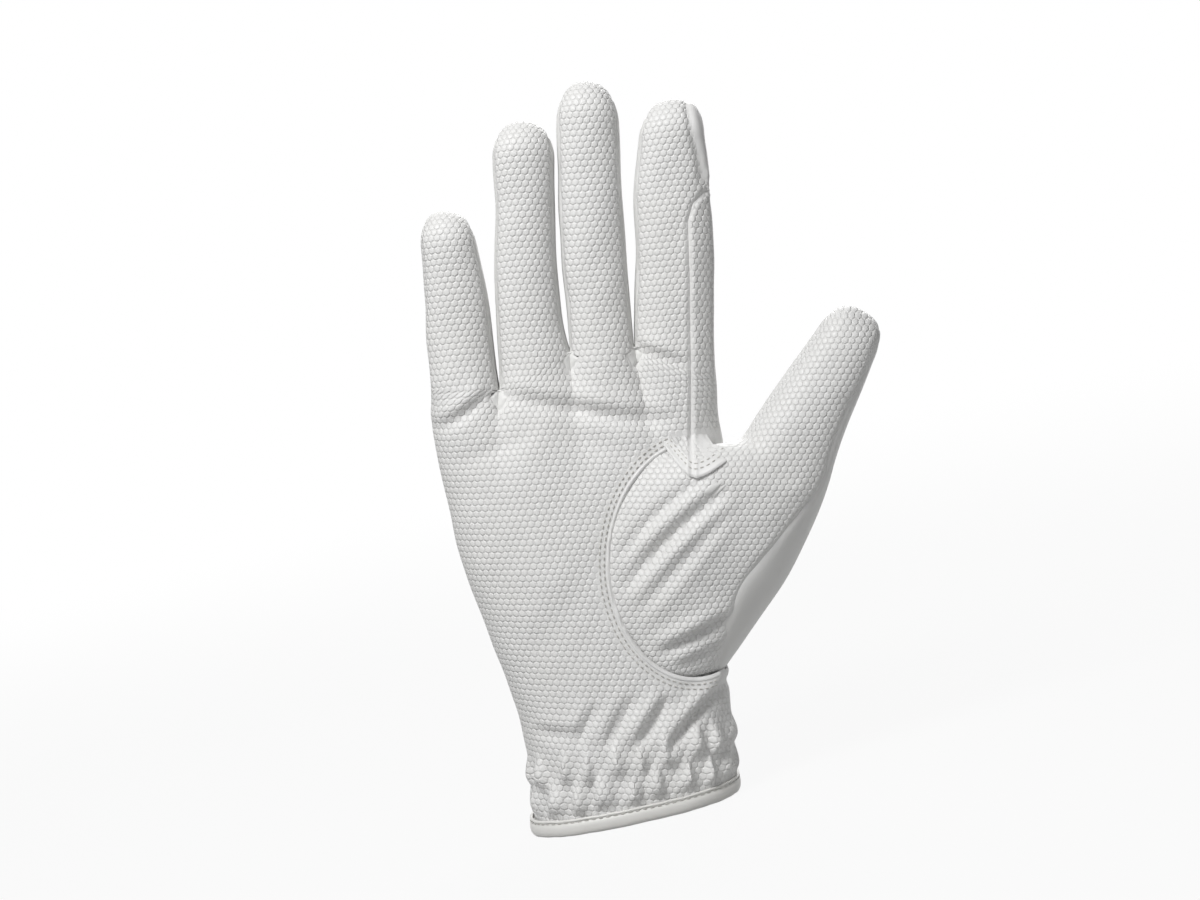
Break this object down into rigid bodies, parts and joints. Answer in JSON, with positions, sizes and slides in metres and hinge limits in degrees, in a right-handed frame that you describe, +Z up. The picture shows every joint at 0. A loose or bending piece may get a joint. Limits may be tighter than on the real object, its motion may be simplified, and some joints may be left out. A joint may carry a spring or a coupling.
{
  "type": "riding glove",
  "caption": "Right-hand glove with embossed palm leather, set-in thumb, fourchettes, elastic wrist and a back closure tab, filled as if worn.",
  "frame": {"origin": "middle of the hand opening, in the plane of the cuff edge", "axes": "+Z up from the cuff to the fingertips, -Y the palm side, +X the thumb side"},
  "size_m": [0.1415, 0.0472, 0.225],
  "materials": {
    "embossed_leather": "white synthetic leather, embossed with small raised hexagonal scales, semi-matt",
    "smooth_leather": "smooth white synthetic leather, semi-matt",
    "binding": "smooth white binding strip",
    "elastic": "woven white elastic tape",
    "hook_tape": "white hook tape",
    "loop_tape": "white loop tape"
  },
  "bodies": {
    "hand": {"back_panel": "smooth_leather", "hem_binding": "binding", "index_knuckle_fold": "embossed_leather", "index_side_patch_base": "embossed_leather", "little_knuckle_fold": "embossed_leather", "little_ring_fourchette_base": "smooth_leather", "little_ring_quirk": "smooth_leather", "loop_pad": "loop_tape", "middle_index_fourchette_base": "smooth_leather", "middle_index_quirk": "smooth_leather", "middle_knuckle_fold": "embossed_leather", "palm_panel": "embossed_leather", "ring_knuckle_fold": "embossed_leather", "ring_middle_fourchette_base": "smooth_leather", "ring_middle_quirk": "smooth_leather", "slit_binding": "binding", "tab_anchor": "smooth_leather", "thumb_back_base": "smooth_leather", "thumb_base_fold": "embossed_leather", "thumb_front_base": "embossed_leather", "thumb_gusset": "smooth_leather", "wrist_elastic": "elastic"},
    "little_lower": {"little_back_lower": "smooth_leather", "little_fourchette_lower": "smooth_leather", "little_front_lower": "embossed_leather", "little_middle_fold": "embossed_leather"},
    "little_upper": {"little_back_upper": "smooth_leather", "little_fourchette_upper": "smooth_leather", "little_front_upper": "embossed_leather"},
    "ring_lower": {"ring_back_lower": "smooth_leather", "ring_fourchettes_lower": "smooth_leather", "ring_front_lower": "embossed_leather", "ring_middle_fold": "embossed_leather"},
    "ring_upper": {"ring_back_upper": "smooth_leather", "ring_fourchettes_upper": "smooth_leather", "ring_front_upper": "embossed_leather"},
    "middle_lower": {"middle_back_lower": "smooth_leather", "middle_fourchettes_lower": "smooth_leather", "middle_front_lower": "embossed_leather", "middle_middle_fold": "embossed_leather"},
    "middle_upper": {"middle_back_upper": "smooth_leather", "middle_fourchettes_upper": "smooth_leather", "middle_front_upper": "embossed_leather"},
    "index_lower": {"index_back_lower": "smooth_leather", "index_fourchette_lower": "smooth_leather", "index_front_lower": "embossed_leather", "index_middle_fold": "embossed_leather", "index_side_patch_lower": "embossed_leather"},
    "index_upper": {"index_back_upper": "smooth_leather", "index_fourchette_upper": "smooth_leather", "index_front_upper": "embossed_leather", "index_side_patch_upper": "embossed_leather"},
    "thumb_lower": {"thumb_back_lower": "smooth_leather", "thumb_front_lower": "embossed_leather", "thumb_tip_fold": "embossed_leather"},
    "thumb_upper": {"thumb_back_upper": "smooth_leather", "thumb_front_upper": "embossed_leather"},
    "tab": {"closure_tab": "smooth_leather", "hook_pad": "hook_tape"}
  },
  "joints": [
    {"name": "little_knuckle", "type": "hinge", "parent": "hand", "child": "little_lower", "pos_m": [-0.02246, -0.00011, 0.14869], "axis": [0.9767, 0, -0.2147], "range_deg": [0, 80], "stiffness_Nm_per_rad": 0.04, "deforming": ["little_knuckle_fold"]},
    {"name": "little_middle_joint", "type": "hinge", "parent": "little_lower", "child": "little_upper", "pos_m": [-0.01947, -0.00128, 0.17056], "axis": [0.9767, 0, -0.2147], "range_deg": [0, 85], "stiffness_Nm_per_rad": 0.03, "deforming": ["little_middle_fold"]},
    {"name": "ring_knuckle", "type": "hinge", "parent": "hand", "child": "ring_lower", "pos_m": [0.00053, -0.00015, 0.15572], "axis": [0.9767, 0, -0.2147], "range_deg": [0, 80], "stiffness_Nm_per_rad": 0.04, "deforming": ["ring_knuckle_fold"]},
    {"name": "ring_middle_joint", "type": "hinge", "parent": "ring_lower", "child": "ring_upper", "pos_m": [0.00528, -0.00116, 0.18334], "axis": [0.9767, 0, -0.2147], "range_deg": [0, 85], "stiffness_Nm_per_rad": 0.03, "deforming": ["ring_middle_fold"]},
    {"name": "middle_knuckle", "type": "hinge", "parent": "hand", "child": "middle_lower", "pos_m": [0.02184, -0.00006, 0.15267], "axis": [0.9767, 0, -0.2147], "range_deg": [0, 80], "stiffness_Nm_per_rad": 0.04, "deforming": ["middle_knuckle_fold"]},
    {"name": "middle_middle_joint", "type": "hinge", "parent": "middle_lower", "child": "middle_upper", "pos_m": [0.02649, -0.00108, 0.18544], "axis": [0.9767, 0, -0.2147], "range_deg": [0, 85], "stiffness_Nm_per_rad": 0.03, "deforming": ["middle_middle_fold"]},
    {"name": "index_knuckle", "type": "hinge", "parent": "hand", "child": "index_lower", "pos_m": [0.04427, -0.00012, 0.14774], "axis": [0.9767, 0, -0.2147], "range_deg": [0, 80], "stiffness_Nm_per_rad": 0.04, "deforming": ["index_knuckle_fold"]},
    {"name": "index_middle_joint", "type": "hinge", "parent": "index_lower", "child": "index_upper", "pos_m": [0.05054, -0.00136, 0.1781], "axis": [0.9767, 0, -0.2147], "range_deg": [0, 85], "stiffness_Nm_per_rad": 0.03, "deforming": ["index_middle_fold"]},
    {"name": "thumb_base_bend", "type": "hinge", "parent": "hand", "child": "thumb_lower", "pos_m": [0.0685, -0.006, 0.09675], "axis": [0.757, 0, -0.6534], "range_deg": [0, 40], "stiffness_Nm_per_rad": 0.04, "deforming": ["thumb_base_fold"]},
    {"name": "thumb_tip_bend", "type": "hinge", "parent": "thumb_lower", "child": "thumb_upper", "pos_m": [0.0836, -0.006, 0.11608], "axis": [0.757, 0, -0.6534], "range_deg": [0, 60], "stiffness_Nm_per_rad": 0.03, "deforming": ["thumb_tip_fold"]},
    {"name": "tab_hinge", "type": "hinge", "parent": "hand", "child": "tab", "pos_m": [0.016, 0.02327, 0.02363], "axis": [0, 0, -1], "range_deg": [0, 110], "stiffness_Nm_per_rad": 0.004}
  ]
}
